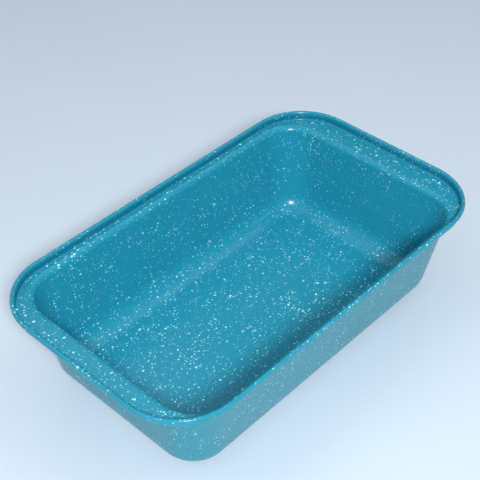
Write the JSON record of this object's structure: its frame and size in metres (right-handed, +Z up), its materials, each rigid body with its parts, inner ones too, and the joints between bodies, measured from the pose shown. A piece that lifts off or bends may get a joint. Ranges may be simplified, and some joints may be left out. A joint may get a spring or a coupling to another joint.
{
  "type": "loaf pan",
  "caption": "Rectangular loaf pan with sloping walls, rounded corners, a wide ledge at each end and a rolled rim.",
  "frame": {"origin": "middle of the base, where the pan rests on the table", "axes": "+X along the pan's length, +Y across its width, +Z up"},
  "size_m": [0.268, 0.1562, 0.0668],
  "materials": {
    "steel": "satin",
    "wire": "satin",
    "inner_enamel": "gloss",
    "outer_enamel": "gloss"
  },
  "bodies": {
    "root": {"steel_shell": "steel", "rim_wire": "wire", "inner_coating": "inner_enamel", "outer_coating": "outer_enamel"}
  },
  "joints": []
}
